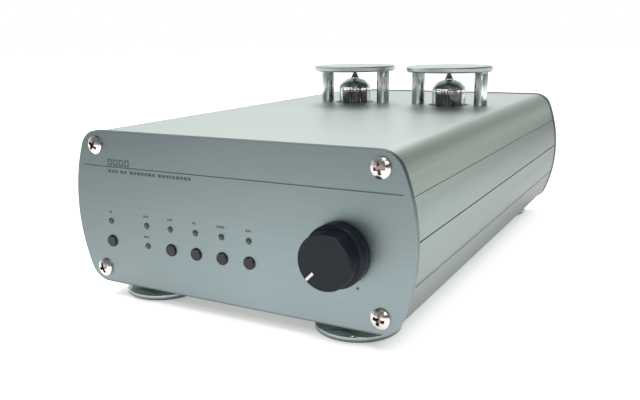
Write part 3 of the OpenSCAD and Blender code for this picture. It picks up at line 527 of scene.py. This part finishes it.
ceramic = moulded("ceramic", (0.75, 0.72, 0.64), (0.15, 0.28), 700.0, 0.06)
mica = moulded("mica", (0.72, 0.68, 0.58), (0.25, 0.4), 900.0, 0.1)
anode_metal = polished("anode_metal", (0.1, 0.1, 0.105), (0.35, 0.6), (700, 700, 90))
getter_metal = polished("getter_metal", (0.4, 0.37, 0.33), (0.2, 0.4))
lens_green = tinted_lens("lens_green", (0.065, 0.095, 0.06))
board_green = circuit_board("board_green")
valve_glass = clear_glass("valve_glass")

paint(("front_panel", "rear_panel"), panel_metal)
paint(("top_shell", "bottom_shell"), shell_metal)
paint(("front_screws", "rear_screws"), screw_metal)
paint(("pot_shaft", "pot_washer", "pot_nut", "knob_set_screw", "gain_pot", "front_board_screws",
       "main_board_screws", "valve_board_screws", "transformer_plate", "transformer_bolt",
       "guard_screws", "foot_screws", "socket_screws", "mic_latch", "valve_pins"), steel)
paint(("gain_knob",), knob_skin)
paint(("knob_pointer",), white_ink)
paint([n for n in NODES if n.endswith("_button")], button_skin)
paint(("power_lamp", "level_lamps", "mode_lamps"), lens_green)
paint(("front_board", "main_board", "valve_board"), board_green)
paint(("front_standoffs", "main_standoffs", "valve_standoffs"), gold)
paint(("xlr_contacts",), gold)
paint(("button_switches", "mode_relays"), relay_case)
paint(("film_capacitors",), film_case)
paint(("reservoir_capacitors",), sleeve)
paint(("mains_transformer",), winding_tape("winding_tape", centre("mains_transformer")))
paint(("valve_sockets",), ceramic)
paint(("valve_spacers",), mica)
paint(("valve_anodes",), anode_metal)
paint(("valve_getters",), getter_metal)
paint([f"{side}_valve_glass" for side in VALVES], valve_glass)
paint(("guard_posts",), post_metal)
for side in VALVES:
    paint((f"{side}_guard_disc",), turned(f"{side}_disc_metal", (0.5, 0.56, 0.555), MIDDLE[side]))
paint(("feet",), foot_chrome)
paint(("foot_pads",), rubber)
paint(("mic_input", "mic_insert", "line_output", "mains_inlet", "fuse_drawer", "jack_output"),
      black_moulding)

soften(("top_shell", "bottom_shell"), 0.15)
soften(("mic_input", "line_output", "mains_inlet", "fuse_drawer", "jack_output", "mic_latch"), 0.3)
soften(("mode_relays", "film_capacitors"), 0.6, 3)
soften(("guard_posts", "feet", "gain_knob"), 0.15)


# ---------------------------------------------------------------- valves

# All in millimetres
GETTER_INSET = 1.15
GETTER_RISE = 1.0
GETTER_THICKNESS = 0.04
ROD_RADIUS = 0.35
ROD_X = (-6.6, -1.0, 1.0, 6.6)
ROD_Y = (-5.4, 5.4)


def dome_profile(side, inset):
    """The inside of a valve's dome as (radius, height), inset from the outside of the glass."""
    lo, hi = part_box(f"{side}_valve_glass")
    r = (hi[0] - lo[0]) / 2 - inset
    top = hi[2] - GLASS_TIP * MM - inset
    drop = GLASS_SHOULDER * MM - inset / 2
    steps = 18
    angles = (math.radians(78) * i / steps for i in range(steps + 1))
    return [(r * math.cos(a), top - drop + drop * math.sin(a)) for a in angles]


def ragged(angle):
    """The height of a ragged edge at an angle, in metres: three waves that don't repeat together."""
    waves = 0.5 * math.sin(3 * angle + 0.7) + 0.3 * math.sin(7 * angle) + 0.2 * math.sin(13 * angle + 2)
    return waves * MM


def getter_flash(side):
    """The mirror on the inside of the dome, with a ragged lower edge."""
    profile = dome_profile(side, GETTER_INSET * MM)
    start = profile[0][1] + GETTER_RISE * MM
    rows = [row for row in profile if row[1] > start]
    middle = MIDDLE[side]
    steps = 72
    bm = bmesh.new()
    grid = []
    for k, (r, z) in enumerate(rows):
        row = []
        for i in range(steps):
            a = 2 * math.pi * i / steps
            lift = ragged(a) if k == 0 else 0
            row.append(bm.verts.new((middle.x + r * math.cos(a), middle.y + r * math.sin(a), z + lift)))
        grid.append(row)
    for a, b in zip(grid, grid[1:]):
        for i in range(steps):
            j = (i + 1) % steps
            bm.faces.new((a[i], a[j], b[j], b[i]))
    peak = bm.verts.new((middle.x, middle.y, rows[-1][1] + 0.25 * MM))
    for i in range(steps):
        bm.faces.new((grid[-1][i], grid[-1][(i + 1) % steps], peak))
    mirror = getter_mirror(f"{side}_getter_mirror", rows[-1][1])
    piece = new_piece(f"{side}_getter_flash", bm, mirror)
    shell = piece.modifiers.new("shell", "SOLIDIFY")
    shell.thickness = GETTER_THICKNESS * MM


def valve_rods(side):
    """Grid and anode support rods, standing through the mica beside the anodes."""
    lo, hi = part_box("valve_spacers")
    length = hi[2] - lo[2] + 3 * MM
    z = (lo[2] + hi[2]) / 2 + 0.5 * MM
    middle = MIDDLE[side]
    bm = bmesh.new()
    for x in ROD_X:
        for y in ROD_Y:
            place = Matrix.Translation((middle.x + x * MM, middle.y + y * MM, z))
            bmesh.ops.create_cone(bm, cap_ends=True, segments=16, radius1=ROD_RADIUS * MM,
                                  radius2=ROD_RADIUS * MM, depth=length, matrix=place)
    new_piece(f"{side}_valve_rods", bm, getter_metal)


for side in VALVES:
    getter_flash(side)
    valve_rods(side)


# ---------------------------------------------------------------- printed marks

# All in millimetres on the panel
INK_THICKNESS = 0.03
TITLE_X = -71.6
TITLE_Z = 62.5
TITLE_BLOCKS = 4
TITLE_PITCH = 3.75
# Width, height and wall
TITLE_BLOCK = (2.9, 3.4, 0.7)
SUBTITLE_Z = 58.9
# The dashes of the line under the title; a negative width is a space between words
SUBTITLE = (1.9, 1.5, 1.5, -0.6, 1.9, 1.5, -0.8, 2.2, 1.5, 1.9, 1.5, 1.5, 2.2, 1.5, -0.9,
            1.9, 1.9, 1.5, 1.0, 1.5, 1.9, 1.5, 1.9, 1.5)
# Labels over the lamps: x of the left end, height, and the widths of the dashes
LABELS = ((-73.3, 37.6, (0.7, 0.7)), (-50.4, 37.6, (0.8, 0.8, 0.8)), (-50.9, 27.0, (0.9, 0.8, 0.9)),
          (-34.9, 37.6, (0.8, 0.8, 0.8)), (-19.4, 37.6, (0.7, 0.7)),
          (-5.0, 37.6, (0.9, 0.8, 0.8, 0.8)), (11.3, 37.6, (0.8, 0.8, 0.7)))
DOT_RADIUS = 0.65
DOT_RING_RADIUS = 16.7
DOT_ANGLE = 150


def mark(bm, x, z, w, h):
    """A small printed block on the panel, w wide and h high, standing on height z."""
    bar(bm, on_panel(x, z, INK_THICKNESS), on_panel(x + w, z + h, -0.01))


def dash_row(bm, x, z, widths, gap, height):
    """A row of printed dashes; a negative width leaves a space."""
    for w in widths:
        if w > 0:
            mark(bm, x, z, w, height)
        x += abs(w) + gap


def outlined_block(bm, x, z, w, h, t):
    """A hollow printed block with walls t thick."""
    mark(bm, x, z, w, t)
    mark(bm, x, z + h - t, w, t)
    mark(bm, x, z + t, t, h - 2 * t)
    mark(bm, x + w - t, z + t, t, h - 2 * t)


def panel_print():
    """Plain blocks and dashes where the panel has its title and labels."""
    bm = bmesh.new()
    for i in range(TITLE_BLOCKS):
        outlined_block(bm, TITLE_X + i * TITLE_PITCH, TITLE_Z, *TITLE_BLOCK)
    dash_row(bm, TITLE_X, SUBTITLE_Z, SUBTITLE, gap=0.66, height=1.5)
    for x, z, widths in LABELS:
        dash_row(bm, x, z, widths, gap=0.35, height=1.1)
    new_piece("panel_print", bm, printed("panel_ink", (0.035, 0.05, 0.055)), smooth=False)


def knob_dots():
    """The dots at the two ends of the knob's turn."""
    knob = centre("pot_shaft")
    bm = bmesh.new()
    for side in (-1, 1):
        a = math.radians(DOT_ANGLE * side)
        place = Vector((knob.x + DOT_RING_RADIUS * MM * math.sin(a), FACE_Y,
                        knob.z + DOT_RING_RADIUS * MM * math.cos(a)))
        turn = Matrix.Rotation(math.pi / 2, 4, "X")
        bmesh.ops.create_cone(bm, cap_ends=True, segments=24, radius1=DOT_RADIUS * MM,
                              radius2=DOT_RADIUS * MM, depth=2 * INK_THICKNESS * MM,
                              matrix=Matrix.Translation(place) @ turn)
    new_piece("knob_dots", bm, printed("dot_ink", (0.03, 0.035, 0.04)), smooth=False)


panel_print()
knob_dots()


# ---------------------------------------------------------------- floor, light and camera

# The world's brightness by how far up a ray points, from level (0) to straight up (1)
WORLD_STOPS = ((0.0, 1.0), (0.2, 1.0), (0.42, 0.42), (1.0, 0.5))

# x, height and distance in front of the panel's face, in millimetres
CAMERA_PLACE = (191.7, 124.8, 256.4)
# Yaw to the left, pitch down and roll, in degrees
CAMERA_TURN = (28.81, 13.15, -0.93)
CAMERA_LENS = 39.58


def build_floor():
    """White paper that glows, less so under the object, where the dimmer glow is a painted shadow."""
    bm = bmesh.new()
    bmesh.ops.create_grid(bm, x_segments=1, y_segments=1, size=6.0)
    mesh = bpy.data.meshes.new("floor")
    bm.to_mesh(mesh)
    bm.free()
    floor = bpy.data.objects.new("floor", mesh)
    floor.location.z = -0.2 * MM
    bpy.context.scene.collection.objects.link(floor)
    look = Shader("floor_paper", Roughness=0.9, Specular_IOR_Level=0.1)
    tone = look.ramp(look.noise(look.coords((3, 3, 3)), detail=2.0),
                     ((0.3, (0.87, 0.88, 0.88)), (0.7, (0.9, 0.9, 0.9))))
    split = look.add("ShaderNodeSeparateXYZ")
    look.link(look.coords(), split.inputs[0])
    beside = look.math("SUBTRACT", look.math("ABSOLUTE", split.outputs["X"]), CAD_BOX[1].x)
    before = look.math("SUBTRACT", look.math("ABSOLUTE", split.outputs["Y"]), CAD_BOX[1].y)
    apart = look.math("MAXIMUM", beside, before)
    look.feed("Base Color", tone)
    look.feed("Emission Color", tone)
    # Painted shadow: the glow drops under the object
    look.feed("Emission Strength", look.spread(apart, 0.42, 0.9, -26 * MM, -10 * MM))
    mesh.materials.append(look.mat)


def build_world():
    """A pale studio: bright low down, greyer overhead, dimmed in front and to the right.

    Rays from the camera see plain white.
    """
    world = bpy.data.worlds.new("studio")
    bpy.context.scene.world = world
    world.use_nodes = True
    air = Nodes(world.node_tree)
    ray = air.add("ShaderNodeTexCoord").outputs["Generated"]
    x, y, z = (air.axis(ray, letter) for letter in "XYZ")
    sky = air.ramp(z, [(place, (value, value * 1.01, value)) for place, value in WORLD_STOPS])
    to_the_right = air.spread(x, 1.0, 0.38, -0.05, 0.35)
    in_front = air.spread(y, 0.45, 1.0, -0.6, 0.1)
    studio = air.multiply(sky, air.math("MULTIPLY", to_the_right, in_front))
    from_camera = air.add("ShaderNodeLightPath").outputs["Is Camera Ray"]
    back = world.node_tree.nodes["Background"]
    air.link(air.mix(from_camera, studio, (1.0, 1.0, 1.0)), back.inputs["Color"])
    back.inputs["Strength"].default_value = 1.0


def area(name, place, target, size, power, mirrored=True):
    """A rectangular light of size metres and power watts, aimed at target.

    One that isn't mirrored is left out of glossy reflections.
    """
    light = bpy.data.lights.new(name, "AREA")
    light.shape = "RECTANGLE"
    light.size, light.size_y = size
    light.energy = power
    obj = bpy.data.objects.new(name, light)
    obj.location = place
    obj.rotation_euler = (Vector(target) - Vector(place)).to_track_quat("-Z", "Y").to_euler()
    obj.visible_glossy = mirrored
    obj.visible_camera = False
    bpy.context.scene.collection.objects.link(obj)


def build_camera():
    """The camera stands to the right of the front panel and a little above it."""
    place = on_panel(*CAMERA_PLACE)
    yaw, pitch, roll = (math.radians(a) for a in CAMERA_TURN)
    forward = Vector((-math.sin(yaw) * math.cos(pitch), math.cos(yaw) * math.cos(pitch),
                      -math.sin(pitch)))
    level = Vector((math.cos(yaw), math.sin(yaw), 0.0))
    upright = level.cross(forward)
    right = level * math.cos(roll) + upright * math.sin(roll)
    up = upright * math.cos(roll) - level * math.sin(roll)
    data = bpy.data.cameras.new("camera")
    data.sensor_width = 36.0
    data.lens = CAMERA_LENS
    data.clip_start = 0.01
    camera = bpy.data.objects.new("camera", data)
    turn = Matrix((right, up, -forward)).transposed().to_4x4()
    camera.matrix_world = Matrix.Translation(place) @ turn
    bpy.context.scene.collection.objects.link(camera)
    bpy.context.scene.camera = camera


build_floor()
build_world()
area("key", (-0.25, 0.25, 1.1), (0, 0, 0.05), (0.9, 0.9), 8.0, mirrored=False)
area("sky_light", (-0.4, 0.7, 0.95), (0, 0, 0.09), (1.1, 0.8), 4.4)
area("back_light", (-0.3, 0.9, 0.6), (0, 0, 0.09), (1.3, 0.5), 0.25)
area("front_fill", (0.7, -1.1, 0.8), (0, -0.1, 0.04), (0.5, 0.5), 2.0)
area("edge_light", (0.15, -0.52, 0.75), (0.06, -0.15, 0.04), (0.16, 0.16), 1.6)
build_camera()
bpy.context.scene.view_settings.view_transform = "Standard"
